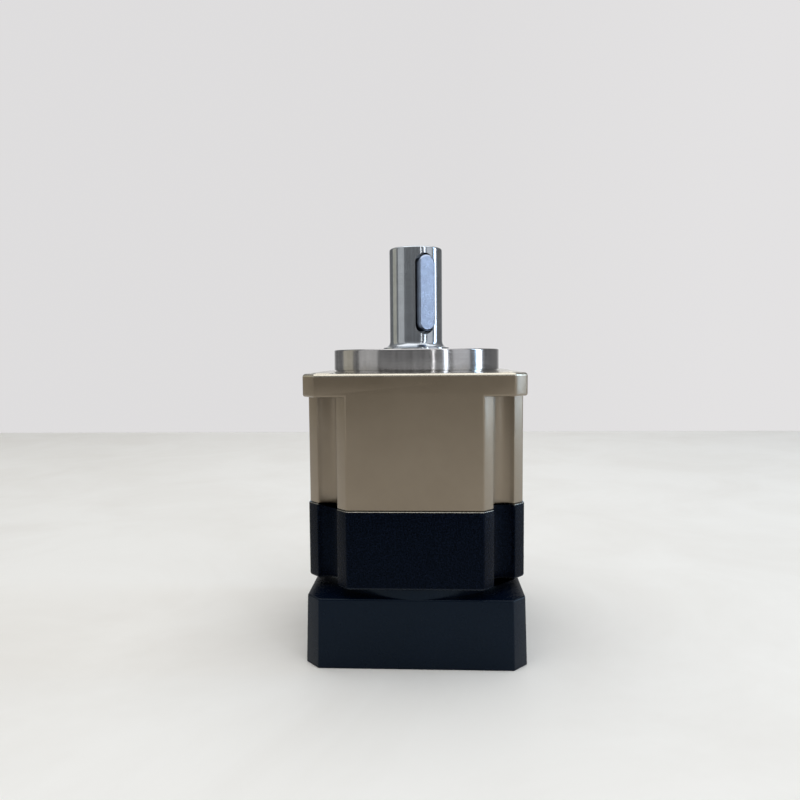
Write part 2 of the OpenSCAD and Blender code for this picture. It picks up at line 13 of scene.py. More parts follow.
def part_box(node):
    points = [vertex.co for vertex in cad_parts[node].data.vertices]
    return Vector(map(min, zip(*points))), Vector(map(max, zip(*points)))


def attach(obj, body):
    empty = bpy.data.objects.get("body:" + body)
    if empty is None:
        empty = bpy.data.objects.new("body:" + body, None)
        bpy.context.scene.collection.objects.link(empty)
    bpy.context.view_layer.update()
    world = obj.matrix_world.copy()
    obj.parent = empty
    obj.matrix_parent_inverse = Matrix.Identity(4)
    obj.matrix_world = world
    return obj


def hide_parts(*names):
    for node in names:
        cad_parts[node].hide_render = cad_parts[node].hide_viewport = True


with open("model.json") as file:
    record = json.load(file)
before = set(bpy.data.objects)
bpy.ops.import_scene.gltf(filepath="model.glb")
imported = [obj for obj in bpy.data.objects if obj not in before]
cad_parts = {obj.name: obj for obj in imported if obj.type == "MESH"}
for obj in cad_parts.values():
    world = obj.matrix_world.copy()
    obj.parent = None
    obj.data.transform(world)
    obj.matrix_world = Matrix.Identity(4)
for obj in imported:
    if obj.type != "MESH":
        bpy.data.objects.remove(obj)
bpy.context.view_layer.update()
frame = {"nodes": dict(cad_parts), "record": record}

# Lengths in this script are millimetres unless a name ends in _m, and turns are degrees
MM = 0.001
# Overshoot that keeps cuts from ending on a face, the clearance between seated pieces, and the room on
# each side of a retaining ring in its groove
OVER = 1
SEAT = 0.02
CLIP_SLACK = 0.05

# Casing section, shared by the gearbox body and the input housing
PANEL_HALF = 18.2
POCKET_R = 4.5
BOLT_XY = 70 / 2 / math.sqrt(2)

# Gearbox body: its flange and the turned steps of its bore
FLANGE_T = 6.2
FLANGE_TURNED_R = 40
FLANGE_HOLE_R = 2.75
RING_BORE_R = 26
DISC_ROOM_R = 21.4
BODY_NECK_R = 17.3
SLEEVE_R = 24

# Pilot sleeve, and the recess in the flange that its foot stands in
PILOT_R = 25
SEAL_SEAT_R = 16
SEAL_SHOULDER = 0.6
FOOT_DEPTH = 0.8
FOOT_GAP = 0.3
RELIEF_DEPTH = 0.4
RELIEF_ABOVE_FLANGE = 0.5

# Input housing: the turned steps of its bore and the groove of its O-ring
SEAM_GAP = 0.06
INPUT_SEAL_R = 18
INPUT_RACE_R = 21
CLIP_GROOVE_R = 22
CARRIER_PIT_R = 22.4
CARRIER_PIT_LOW = 37.8
O_RING_GROOVE_R = 24.85
O_RING_GROOVE_W = 1.4

# Motor adapter: its block with cut corners, its neck, its bore and the stepped hole for the plug
ADAPTER_H = 19
ADAPTER_DRAFT = 0.5
ADAPTER_PANEL_HALF = 26.3
ADAPTER_EDGE_ROUND = 0.8
NECK_R = 29.5
RECESS_R = 25
RECESS_H = 3.5
RECESS_LIP = 0.3
CAVITY_R = 18.6
PLUG_HOLE_R = 5
PLUG_HOLE_STEP_R = 4
PLUG_HOLE_FLOOR = 8
PLUG_HOLE_SHOULDER = 26
CLAMP_SCREW_XZ = (13.4, 9.8)

# Screw places and screw holes. The hole radii are for threads, shanks and heads.
HOUSING_SCREW_XY = (14, 25.5)
ADAPTER_SCREW_ORBIT_R = 22
M3_TAP_R = 1.5
M3_SHANK_R = 1.6
M5_TAP_R = 2.1
HOUSING_HEAD_R = 3
HOUSING_HEAD_ROOM = 3.5
BODY_THREAD_L = 7.5
ADAPTER_HEAD_R = 2.9
ADAPTER_HEAD_TOP = 15
ADAPTER_SCREW_TOP = 26.3
MOTOR_THREAD_L = 14

# Output shaft, from the carrier disc with its posts and pins up to the key and the centre thread
DISC_LOW = 54.4
DISC_TOP = 58
POST_TURNS = (30, 150, 270)
POST_ORBIT_R = 16.5
POST_R = 3.4
POST_THREAD_L = 7
PIN_ORBIT_R = 14.4
PIN_R = 2.5
COLLAR_R = 10
DISC_SHOULDER_R = COLLAR_R + 2
SHAFT_CLIP_R = 9.3
SHAFT_R = 8
COLLAR_ABOVE_PILOT = 0.6
FLARE_R = 1.9
SHAFT_END_ROUND = 0.6
CENTRE_THREAD_L = 12.5
KEY_TURN = 21
KEY_W = 5
KEY_H = 5
KEY_DEPTH = 3
KEY_EDGE = 0.45
SLOT_L = 23
SLOT_LIP = 0.35


def box_mm(node):
    """Lowest and highest corner of a CAD node, in millimetres."""
    low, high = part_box(node)
    return low / MM, high / MM


def heights(node):
    """Lowest and highest Z of a CAD node."""
    return [corner.z for corner in box_mm(node)]


SEAM_Z, FLANGE_TOP = heights("gearbox_body")
NECK_TOP, SPIGOT_TOP = heights("input_housing")
SLEEVE_LOW, PILOT_TOP = heights("pilot_sleeve")
POST_LOW, SHAFT_TOP = heights("output_shaft")
KEY_LOW, KEY_HIGH = heights("output_key")


# ---------------------------------------------------------------- mesh tools


def new_object(name, bm):
    """Turns a bmesh in millimetres into an object in metres."""
    bmesh.ops.recalc_face_normals(bm, faces=bm.faces)
    bmesh.ops.scale(bm, vec=(MM, MM, MM), verts=bm.verts)
    mesh = bpy.data.meshes.new(name)
    bm.to_mesh(mesh)
    bm.free()
    obj = bpy.data.objects.new(name, mesh)
    bpy.context.scene.collection.objects.link(obj)
    return obj


def shade_by_angle(obj, degrees=32):
    """Smooth shading that stays sharp at edges steeper than the angle."""
    bm = bmesh.new()
    bm.from_mesh(obj.data)
    for face in bm.faces:
        face.smooth = True
    for edge in bm.edges:
        edge.smooth = len(edge.link_faces) == 2 and edge.calc_face_angle(0) < math.radians(degrees)
    bm.to_mesh(obj.data)
    bm.free()


def fillet(points, radii, steps=5):
    """Rounds the corners of a closed outline. A radius of 0 leaves the corner sharp."""
    rounded = []
    count = len(points)
    for i, radius in enumerate(radii):
        corner = Vector(points[i])
        if radius == 0:
            rounded.append(tuple(corner))
            continue
        before = (Vector(points[i - 1]) - corner).normalized()
        after = (Vector(points[(i + 1) % count]) - corner).normalized()
        half_angle = before.angle(after) / 2
        centre = corner + (before + after).normalized() * (radius / math.sin(half_angle))
        start = corner + before * (radius / math.tan(half_angle)) - centre
        end = corner + after * (radius / math.tan(half_angle)) - centre
        a0 = math.atan2(start.y, start.x)
        turn = math.atan2(end.y, end.x) - a0
        turn = (turn + math.pi) % (2 * math.pi) - math.pi
        for s in range(steps + 1):
            a = a0 + turn * s / steps
            rounded.append((centre.x + radius * math.cos(a), centre.y + radius * math.sin(a)))
    return rounded


def lathe(name, profile, steps=160):
    """Turned solid: profile is a closed list of (radius, height)."""
    bm = bmesh.new()
    rings = []
    for r, z in profile:
        if r < 1e-6:
            rings.append([bm.verts.new((0, 0, z))])
            continue
        turns = [2 * math.pi * i / steps for i in range(steps)]
        rings.append([bm.verts.new((r * math.cos(a), r * math.sin(a), z)) for a in turns])
    for i, ring in enumerate(rings):
        following = rings[(i + 1) % len(rings)]
        if len(ring) == 1 and len(following) == 1:
            continue
        for s in range(steps):
            t = (s + 1) % steps
            corners = [ring[s % len(ring)], ring[t % len(ring)]]
            corners += [following[t % len(following)], following[s % len(following)]]
            bm.faces.new(list(dict.fromkeys(corners)))
    return new_object(name, bm)


def inset_outline(outline, distance):
    """Moves a counter-clockwise outline inwards by a distance, keeping its corners mitred."""
    moved_points = []
    for i, point in enumerate(outline):
        here = Vector(point)
        to_here = (here - Vector(outline[i - 1])).normalized()
        to_next = (Vector(outline[(i + 1) % len(outline)]) - here).normalized()
        inward = Vector((-to_here.y - to_next.y, to_here.x + to_next.x)).normalized()
        spread = inward.dot(Vector((-to_here.y, to_here.x)))
        moved_points.append(tuple(here + inward * (distance / spread)))
    return moved_points


def prism(name, low, high, z0, z1, low_round=0.0, high_round=0.0, steps=5):
    """Straight or drafted prism between two outlines. Its end edges are rounded, or chamfered in 1 step."""
    turns = [math.pi / 2 * s / steps for s in range(steps + 1)]
    rings = [(low, low_round * (1 - math.sin(a)), z0 + low_round * (1 - math.cos(a))) for a in turns]
    if not low_round:
        rings = [(low, 0, z0)]
    if high_round:
        rings += [(high, high_round * (1 - math.cos(a)), z1 - high_round * (1 - math.sin(a))) for a in turns]
    else:
        rings.append((high, 0, z1))
    bm = bmesh.new()
    loops = []
    for outline, inset, z in rings:
        points = inset_outline(outline, inset) if inset > 1e-9 else outline
        loops.append([bm.verts.new((x, y, z)) for x, y in points])
    count = len(low)
    bm.faces.new(loops[0][::-1])
    bm.faces.new(loops[-1])
    for lower, upper in zip(loops, loops[1:]):
        for i in range(count):
            j = (i + 1) % count
            bm.faces.new((lower[i], lower[j], upper[j], upper[i]))
    return new_object(name, bm)


def combine(obj, other, operation):
    """Boolean of two closed objects, applied; the second one is used up."""
    modifier = obj.modifiers.new("combine", "BOOLEAN")
    modifier.operation = operation
    modifier.solver = "MANIFOLD"
    modifier.object = other
    bpy.context.view_layer.update()
    evaluated = obj.evaluated_get(bpy.context.evaluated_depsgraph_get())
    mesh = bpy.data.meshes.new_from_object(evaluated)
    obj.modifiers.clear()
    obj.data = mesh
    bpy.data.objects.remove(other)


def cut(obj, cutter):
    """Takes a closed cutter away from an object."""
    combine(obj, cutter, "DIFFERENCE")


def moved(obj, x=0.0, y=0.0, z=0.0, turn=None):
    """Bakes a move, and first an optional turn about the origin, into the mesh."""
    if turn:
        obj.data.transform(Euler([math.radians(a) for a in turn]).to_matrix().to_4x4())
    obj.data.transform(Matrix.Translation(Vector((x, y, z)) * MM))
    return obj


def hole(r, z0, z1, x=0.0, y=0.0, lip=0.0, steps=64):
    """Cutter for an upright hole. With a lip it leaves through a face at z1, by a chamfer that wide."""
    profile = [(0, z0), (r, z0), (r, z1), (0, z1)]
    if lip:
        profile = [(0, z0), (r, z0), (r, z1 - lip), (r + lip + OVER, z1 + OVER), (0, z1 + OVER)]
    return moved(lathe("cutter", profile, steps), x, y)


def mirrored(x, y):
    """A place and its mirror images in both vertical planes."""
    return [(sx * x, sy * y) for sx in (-1, 1) for sy in (-1, 1)]


def quarter_turns(points):
    """Repeats one corner's points round the four corners, counter-clockwise."""
    outline = []
    for c, s in ((1, 0), (0, 1), (-1, 0), (0, -1)):
        outline += [(x * c - y * s, x * s + y * c) for x, y in points]
    return outline


def casing_outline(half, edge_round=0.5, steps=14):
    """Square with 45 degree corner cuts and a round pocket in each cut; its corners are rounded."""
    cut_sum = PANEL_HALF + half
    to_cut = (cut_sum - 2 * BOLT_XY) / math.sqrt(2)
    chord = math.sqrt(POCKET_R**2 - to_cut**2) / math.sqrt(2)
    start = math.atan2(cut_sum / 2 - chord - BOLT_XY, cut_sum / 2 + chord - BOLT_XY)
    sweep = 2 * (start + 3 * math.pi / 4)
    pocket = [start - sweep * s / steps for s in range(steps + 1)]
    arc = [(BOLT_XY + POCKET_R * math.cos(a), BOLT_XY + POCKET_R * math.sin(a)) for a in pocket]
    corner = [(half, PANEL_HALF), *arc, (PANEL_HALF, half)]
    radii = [2 * edge_round, edge_round / 2] + [0] * (steps - 1) + [edge_round / 2, 2 * edge_round]
    return fillet(quarter_turns(corner), radii * 4)


# ---------------------------------------------------------------- materials


class Shader:
    """Small helper round one node tree, with texture coordinates in millimetres."""

    def __init__(self, name, **sockets):
        self.material = bpy.data.materials.new(name)
        self.material.use_nodes = True
        self.tree = self.material.node_tree
        self.bsdf = self.tree.nodes["Principled BSDF"]
        for socket, value in sockets.items():
            self.bsdf.inputs[socket.replace("_", " ")].default_value = value
        coords = self.tree.nodes.new("ShaderNodeTexCoord")
        scaled = self.tree.nodes.new("ShaderNodeMapping")
        scaled.inputs["Scale"].default_value = (1 / MM,) * 3
        self.link(coords.outputs["Object"], scaled.inputs["Vector"])
        self.mm = scaled.outputs["Vector"]

    def link(self, source, target):
        self.tree.links.new(source, target)

    def noise(self, scale, detail=2.0, roughness=0.5, vector=None, distortion=0.0):
        """Soft noise from 0 to 1. It runs over millimetres unless a vector is given."""
        node = self.tree.nodes.new("ShaderNodeTexNoise")
        node.inputs["Scale"].default_value = scale
        node.inputs["Detail"].default_value = detail
        node.inputs["Roughness"].default_value = roughness
        node.inputs["Distortion"].default_value = distortion
        self.link(vector or self.mm, node.inputs["Vector"])
        return node.outputs["Fac"]

    def cells(self, scale):
        """Distance from the nearest of many scattered centres, smoothed."""
        node = self.tree.nodes.new("ShaderNodeTexVoronoi")
        node.feature = "SMOOTH_F1"
        node.inputs["Scale"].default_value = scale
        self.link(self.mm, node.inputs["Vector"])
        return node.outputs["Distance"]

    def math(self, operation, a, b=None):
        """Calculates with numbers or sockets."""
        node = self.tree.nodes.new("ShaderNodeMath")
        node.operation = operation
        for i, value in enumerate(v for v in (a, b) if v is not None):
            if isinstance(value, (int, float)):
                node.inputs[i].default_value = value
            else:
                self.link(value, node.inputs[i])
        return node.outputs[0]

    def remap(self, value, low, high, to_low, to_high):
        """Maps low..high to to_low..to_high, and holds the ends."""
        node = self.tree.nodes.new("ShaderNodeMapRange")
        ends = {"From Min": low, "From Max": high, "To Min": to_low, "To Max": to_high}
        for socket, number in ends.items():
            node.inputs[socket].default_value = number
        self.link(value, node.inputs["Value"])
        return node.outputs["Result"]

    def ramp(self, value, *stops):
        """Colour ramp; each stop is (position, (r, g, b))."""
        node = self.tree.nodes.new("ShaderNodeValToRGB")
        band = node.color_ramp
        while len(band.elements) < len(stops):
            band.elements.new(0.5)
        for element, (position, colour) in zip(band.elements, stops):
            element.position = position
            element.color = (*colour, 1)
        self.link(value, node.inputs["Fac"])
        return node.outputs["Color"]

    def split(self, vector):
        """The vector's x, y and z."""
        node = self.tree.nodes.new("ShaderNodeSeparateXYZ")
        self.link(vector, node.inputs[0])
        return node.outputs

    def joined(self, x, y, z):
        """A vector from numbers or sockets."""
        node = self.tree.nodes.new("ShaderNodeCombineXYZ")
        for socket, value in zip(node.inputs, (x, y, z)):
            if isinstance(value, (int, float)):
                socket.default_value = value
            else:
                self.link(value, socket)
        return node.outputs[0]

    def turned(self, pitch):
        """Coordinates that run along a lathe tool's path: radius and height, hardly round the axis."""
        x, y, z = self.split(self.mm)
        turn = self.math("MULTIPLY", self.math("ARCTAN2", y, x), 0.6)
        return self.joined(self.math("DIVIDE", self.radius(), pitch), turn, self.math("DIVIDE", z, pitch))

    def radius(self):
        """Distance from the gearbox's axis."""
        x, y, z = self.split(self.mm)
        return self.math("SQRT", self.math("ADD", self.math("MULTIPLY", x, x), self.math("MULTIPLY", y, y)))

    def bump(self, *layers):
        """Stacks bump layers; each is (height, distance in mm)."""
        normal = None
        for height, distance in layers:
            node = self.tree.nodes.new("ShaderNodeBump")
            node.inputs["Distance"].default_value = distance * MM
            node.inputs["Strength"].default_value = 1.0
            self.link(height, node.inputs["Height"])
            if normal:
                self.link(normal, node.inputs["Normal"])
            normal = node.outputs["Normal"]
        self.link(normal, self.bsdf.inputs["Normal"])

    def above(self, height, fade=0.05):
        """0 below the given height in the object and 1 above it."""
        return self.remap(self.split(self.mm)[2], height - fade, height + fade, 0, 1)

    def tangent_about_axis(self):
        """Lets tool marks and stretched reflections run round the gearbox's axis."""
        node = self.tree.nodes.new("ShaderNodeTangent")
        node.direction_type = "RADIAL"
        node.axis = "Z"
        self.link(node.outputs[0], self.bsdf.inputs["Tangent"])

    def set(self, socket, value):
        self.link(value, self.bsdf.inputs[socket])


def champagne_coat(bare_above):
    """Anodised coat. The face machined after anodising, above the given height, is bare metal."""
    s = Shader("champagne_coat", Coat_Weight=0.9, Coat_Roughness=0.26)
    bare = s.above(bare_above)
    patches = s.math("ADD", s.math("MULTIPLY", s.noise(0.06, 3, 0.6), 0.4), s.math("MULTIPLY", bare, 0.6))
    coat = [(0.12, (0.205, 0.161, 0.108)), (0.28, (0.226, 0.18, 0.124))]
    metal = [(0.72, (0.46, 0.43, 0.36)), (0.88, (0.54, 0.51, 0.43))]
    s.set("Base Color", s.ramp(patches, *coat, *metal))
    s.set("Metallic", s.remap(bare, 0, 1, 0.72, 1))
    soft = s.remap(s.noise(0.5, 4, 0.6), 0.3, 0.7, 0.33, 0.41)
    s.set("Roughness", s.math("SUBTRACT", soft, s.math("MULTIPLY", bare, 0.1)))
    coated = s.remap(bare, 0, 1, 1, 0.1)
    grain = s.math("MULTIPLY", s.noise(5.5, 2, 0.6), coated)
    waves = s.math("MULTIPLY", s.noise(0.8, 2), coated)
    facing_marks = s.math("MULTIPLY", s.noise(1.0, 2, 0.6, vector=s.turned(0.25)), bare)
    s.bump((grain, 0.006), (waves, 0.01), (facing_marks, 0.0015))
    return s.material


def black_coat(bare_above, reflection_below):
    """Black powder coat with fine grain. Its seam edge is machined bare, and a band along its lower edge is
    painted lighter as a painted reflection of the bright table.
    """
    s = Shader("black_coat", Specular_IOR_Level=0.07, Specular_Tint=(0.42, 0.62, 1, 1))
    bare = s.above(bare_above)
    # Painted reflection: a band along the lower edge is painted lighter, as if it reflected the bright table
    table_reflection = s.math("SUBTRACT", 1, s.above(reflection_below))
    zones = s.math("ADD", s.math("MULTIPLY", bare, 0.6), s.math("MULTIPLY", table_reflection, 0.28))
    coat = [(0.18, (0.0001, 0.0003, 0.001)), (0.27, (0.0045, 0.0075, 0.018))]
    # Colours of the painted reflection along the lower edge
    edge = [(0.44, (0.014, 0.017, 0.022)), (0.56, (0.024, 0.028, 0.036))]
    metal = [(0.72, (0.26, 0.25, 0.22)), (0.88, (0.34, 0.33, 0.29))]
    grain = s.math("MULTIPLY", s.noise(2.8, 2, 0.6), 0.4)
    s.set("Base Color", s.ramp(s.math("ADD", grain, zones), *coat, *edge, *metal))
    s.set("Metallic", s.remap(bare, 0, 1, 0, 1))
    s.set("Roughness", s.remap(s.noise(2.5, 4, 0.7), 0.3, 0.7, 0.2, 0.34))
    s.bump((s.cells(2.4), 0.06), (s.noise(6, 2), 0.01))
    return s.material


def adapter_coat():
    """Smooth satin coat, nearly black with a blue cast."""
    s = Shader("adapter_coat", Specular_IOR_Level=0.18, Specular_Tint=(0.65, 0.85, 1, 1))
    tone = s.noise(0.05, 3)
    s.set("Base Color", s.ramp(tone, (0.3, (0.0006, 0.0028, 0.009)), (0.7, (0.0012, 0.0038, 0.0115))))
    s.set("Roughness", s.remap(s.noise(0.25, 3, 0.5), 0.3, 0.7, 0.22, 0.3))
    s.bump((s.noise(5, 2), 0.003))
    return s.material


def turned_steel(name, base, line_depth, roughness, anisotropy, slot_shade_zone=None):
    """Steel from a lathe: fine tool marks round the axis that spread reflections along it.

    The last argument is (radius, low, high): inside that radius, between the heights, the steel is painted
    dark, a painted shade in and round the key slot.
    """
    s = Shader(name, Metallic=1.0, Roughness=roughness, Anisotropic=anisotropy, Anisotropic_Rotation=0.25)
    lines = s.noise(1.0, 3, 0.7, vector=s.turned(0.16))
    tone = s.noise(0.25, 4, 0.6)
    tint = s.math("ADD", s.math("MULTIPLY", lines, 0.5), s.math("MULTIPLY", tone, 0.5))
    stops = [(0.35, tuple(c * 0.82 for c in base)), (0.65, base)]
    # Painted shade: the key slot and the lip round it are painted dark where shade falls beside the key
    if slot_shade_zone:
        radius, low, high = slot_shade_zone
        inside = s.math("LESS_THAN", s.radius(), radius)
        height = s.split(s.mm)[2]
        along = s.math("MULTIPLY", s.math("GREATER_THAN", height, low), s.math("LESS_THAN", height, high))
        slot_shade = s.math("MULTIPLY", inside, along)
        tint = s.math("SUBTRACT", tint, s.math("MULTIPLY", slot_shade, 0.6))
        stops = [(0.0, tuple(c * 0.06 for c in base)), (0.08, tuple(c * 0.1 for c in base))] + stops
    s.set("Base Color", s.ramp(tint, *stops))
    s.set("Roughness", s.remap(lines, 0.3, 0.7, roughness * 0.85, roughness * 1.2))
    s.tangent_about_axis()
    s.bump((lines, line_depth), (s.noise(1.1, 2), 0.003))
    return s.material


def plain_steel(name, base, roughness, grain=3.0):
    """Metal with a soft grain in its tone, gloss and surface."""
    s = Shader(name, Metallic=1.0, Roughness=roughness)
    tone = s.noise(0.4, 4, 0.6)
    s.set("Base Color", s.ramp(tone, (0.3, tuple(c * 0.8 for c in base)), (0.7, base)))
    s.set("Roughness", s.remap(s.noise(grain, 3), 0.3, 0.7, roughness * 0.85, roughness * 1.2))
    s.bump((s.noise(grain, 3), 0.004))
    return s.material


def seal_rubber():
    """Matt black rubber."""
    s = Shader("seal_rubber", Roughness=0.6)
    s.set("Base Color", s.ramp(s.noise(0.6, 3), (0.3, (0.012, 0.012, 0.013)), (0.7, (0.022, 0.022, 0.023))))
    s.bump((s.noise(7, 2), 0.01))
    return s.material


# How far the facing cut reaches down the flange's edge, how much of the housing's seam edge is bare and
# how much of its lower edge carries a painted reflection of the table, and how far the painted shade in the
# key slot reaches round the key
FACED_EDGE = 0.8
BARE_SEAM_EDGE = 0.28
REFLECTION_LOW_EDGE = 0.6
SHADE_BELOW_KEY = 2
SHADE_ABOVE_KEY = 1.2
SHADE_BELOW_SURFACE = 0.06

MATERIALS = {
    "champagne_coat": champagne_coat(bare_above=FLANGE_TOP - FACED_EDGE),
    # black_coat paints a reflection of the table along the housing's lower edge
    "black_coat": black_coat(bare_above=SEAM_Z - BARE_SEAM_EDGE, reflection_below=NECK_TOP + REFLECTION_LOW_EDGE),
    "adapter_coat": adapter_coat(),
    "turned_steel": turned_steel("turned_steel", (0.5, 0.495, 0.505), 0.0008, 0.19, 0.9),
    # ground_steel paints shade into the shaft's key slot
    "ground_steel": turned_steel(
        "ground_steel", (0.52, 0.56, 0.61), 0.0005, 0.18, 0.85,
        slot_shade_zone=(SHAFT_R - SHADE_BELOW_SURFACE, KEY_LOW - SHADE_BELOW_KEY, KEY_HIGH + SHADE_ABOVE_KEY),
    ),
    "gear_steel": plain_steel("gear_steel", (0.42, 0.42, 0.43), 0.32),
    "key_steel": plain_steel("key_steel", (0.33, 0.4, 0.54), 0.3),
    "bearing_steel": plain_steel("bearing_steel", (0.65, 0.65, 0.67), 0.12, grain=1.0),
    "cage_brass": plain_steel("cage_brass", (0.65, 0.45, 0.18), 0.3),
    "fastener_steel": plain_steel("fastener_steel", (0.06, 0.06, 0.065), 0.4),
    "spring_steel": plain_steel("spring_steel", (0.2, 0.2, 0.21), 0.4),
    "seal_rubber": seal_rubber(),
}
SLOT_OF = {part["node"]: part["material_slot"] for part in frame["record"]["subparts"]}
for node_name, cad_node in frame["nodes"].items():
    cad_node.data.materials.clear()
    cad_node.data.materials.append(MATERIALS[SLOT_OF[node_name]])


def finish_piece(obj, node, body):
    """Gives a piece that stands for a CAD node the material of that node's slot, smooth shading and its body,
    and hides the node.
    """
    slot = SLOT_OF[node]
    obj.data.materials.clear()
    obj.data.materials.append(MATERIALS[slot])
    shade_by_angle(obj)
    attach(obj, body)
    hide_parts(node)


# ---------------------------------------------------------------- casing pieces


def adapter_screw_places():
    """The four places of the screws that hold the adapter to the housing."""
    r = ADAPTER_SCREW_ORBIT_R
    return [(r, 0), (0, r), (-r, 0), (0, -r)]


def gearbox_body():
    """Body with its mounting flange, and the stepped bore that holds the gears and the pilot sleeve."""
    half = box_mm("gearbox_body")[1].x
    flange_low = FLANGE_TOP - FLANGE_T
    outline = casing_outline(half)
    body = prism("gearbox_body_shell", outline, outline, SEAM_Z, flange_low + OVER, low_round=0.35)

    corner_start = math.acos(half / FLANGE_TURNED_R)
    turns = [corner_start + (math.pi / 2 - 2 * corner_start) * i / 4 for i in range(5)]
    corner = [(FLANGE_TURNED_R * math.cos(a), FLANGE_TURNED_R * math.sin(a)) for a in turns]
    square = fillet(quarter_turns(corner), [1, 0, 0, 0, 1] * 4)
    flange = prism("flange", square, square, flange_low, FLANGE_TOP, low_round=0.6, high_round=0.9)
    combine(body, flange, "UNION")

    ring_shoulder = heights("ring_gear")[1] + 0.1
    disc_room_top = DISC_TOP + 0.5
    sleeve_seat = SLEEVE_LOW - SEAT
    foot_low = FLANGE_TOP - FOOT_DEPTH
    foot_r = PILOT_R + FOOT_GAP
    bore = [
        (0, SEAM_Z - OVER), (RING_BORE_R, SEAM_Z - OVER), (RING_BORE_R, ring_shoulder),
        (DISC_ROOM_R, ring_shoulder), (DISC_ROOM_R, disc_room_top),
        (BODY_NECK_R, disc_room_top), (BODY_NECK_R, sleeve_seat),
        (SLEEVE_R, sleeve_seat), (SLEEVE_R, foot_low),
        (foot_r, foot_low), (foot_r, FLANGE_TOP - 0.15),
        (foot_r + OVER, FLANGE_TOP + OVER), (0, FLANGE_TOP + OVER),
    ]
    cut(body, lathe("cutter", bore))
    for x, y in mirrored(BOLT_XY, BOLT_XY):
        cut(body, hole(FLANGE_HOLE_R, flange_low - OVER, FLANGE_TOP, x, y, lip=0.3))
    for x, y in mirrored(*HOUSING_SCREW_XY):
        cut(body, hole(M3_TAP_R, SEAM_Z - OVER, SEAM_Z + BODY_THREAD_L, x, y))
    finish_piece(body, "gearbox_body", "casing")


def input_housing():
    """Housing of the input bearing. Its spigot centres it in the gearbox body."""
    half = box_mm("input_housing")[1].x
    outline = casing_outline(half)
    shell_top = SEAM_Z - SEAM_GAP
    shell = prism("input_housing_shell", outline, outline, NECK_TOP, shell_top, low_round=0.8, high_round=0.3)
    spigot_r = RING_BORE_R - 1.5 * SEAT
    spigot = [(0, SEAM_Z - OVER), (spigot_r, SEAM_Z - OVER), (spigot_r, SPIGOT_TOP), (0, SPIGOT_TOP)]
    combine(shell, lathe("cutter", spigot), "UNION")

    race_seat = heights("input_bearing_outer_race")[0] - SEAT
    clip_low, clip_high = heights("housing_retaining_ring")
    bore = [
        (0, NECK_TOP - OVER), (INPUT_SEAL_R, NECK_TOP - OVER), (INPUT_SEAL_R, race_seat),
        (INPUT_RACE_R, race_seat), (INPUT_RACE_R, clip_low - CLIP_SLACK),
        (CLIP_GROOVE_R, clip_low - CLIP_SLACK), (CLIP_GROOVE_R, clip_high + CLIP_SLACK),
        (INPUT_RACE_R, clip_high + CLIP_SLACK), (INPUT_RACE_R, CARRIER_PIT_LOW),
        (CARRIER_PIT_R, CARRIER_PIT_LOW), (CARRIER_PIT_R, SPIGOT_TOP + OVER), (0, SPIGOT_TOP + OVER),
    ]
    cut(shell, lathe("cutter", bore))
    groove_low = SEAM_Z + 1
    groove_top = groove_low + O_RING_GROOVE_W
    groove_outer_r = RING_BORE_R + OVER
    groove = [
        (O_RING_GROOVE_R, groove_low), (groove_outer_r, groove_low),
        (groove_outer_r, groove_top), (O_RING_GROOVE_R, groove_top),
    ]
    cut(shell, lathe("cutter", groove))
    for x, y in mirrored(*HOUSING_SCREW_XY):
        cut(shell, hole(M3_SHANK_R, NECK_TOP - OVER, SEAM_Z + OVER, x, y))
        cut(shell, hole(HOUSING_HEAD_R, NECK_TOP - OVER, NECK_TOP + HOUSING_HEAD_ROOM, x, y))
    for x, y in adapter_screw_places():
        cut(shell, hole(M3_TAP_R, NECK_TOP - OVER, ADAPTER_SCREW_TOP, x, y))
    finish_piece(shell, "input_housing", "casing")


def motor_adapter():
    """Plate that the motor is screwed to: a drafted block with a round neck, open over the clamp screw."""
    half, _, top = box_mm("motor_adapter")[1]
    high_half = half - ADAPTER_DRAFT
    high_panel_half = ADAPTER_PANEL_HALF - 0.3
    radii = [ADAPTER_EDGE_ROUND] * 8
    low = fillet(quarter_turns([(half, ADAPTER_PANEL_HALF), (ADAPTER_PANEL_HALF, half)]), radii)
    high = fillet(quarter_turns([(high_half, high_panel_half), (high_panel_half, high_half)]), radii)
    block = prism("motor_adapter_block", low, high, 0, ADAPTER_H, low_round=0.3, high_round=0.45)
    neck = [(0, ADAPTER_H - OVER), (NECK_R, ADAPTER_H - OVER), (NECK_R, top), (0, top)]
    combine(block, lathe("cutter", fillet(neck, [0, 0, 0.2, 0])), "UNION")

    bore = [
        (0, -OVER), (RECESS_R + RECESS_LIP, -OVER), (RECESS_R + RECESS_LIP, 0), (RECESS_R, RECESS_LIP),
        (RECESS_R, RECESS_H), (CAVITY_R, RECESS_H), (CAVITY_R, top + OVER), (0, top + OVER),
    ]
    cut(block, lathe("cutter", bore))
    for x, y in mirrored(BOLT_XY, BOLT_XY):
        cut(block, hole(M5_TAP_R, -OVER, MOTOR_THREAD_L, x, y))
    for x, y in adapter_screw_places():
        cut(block, hole(M3_SHANK_R, RECESS_H - OVER, top + OVER, x, y))
        cut(block, hole(ADAPTER_HEAD_R, RECESS_H - OVER, ADAPTER_HEAD_TOP, x, y))
    plug_hole = [
        (0, PLUG_HOLE_FLOOR), (PLUG_HOLE_STEP_R, PLUG_HOLE_FLOOR), (PLUG_HOLE_STEP_R, PLUG_HOLE_SHOULDER),
        (PLUG_HOLE_R, PLUG_HOLE_SHOULDER), (PLUG_HOLE_R, half + OVER), (0, half + OVER),
    ]
    x, z = CLAMP_SCREW_XZ
    cut(block, moved(lathe("cutter", plug_hole, 64), x, 0, z, turn=(-90, 0, 0)))
    finish_piece(block, "motor_adapter", "casing")


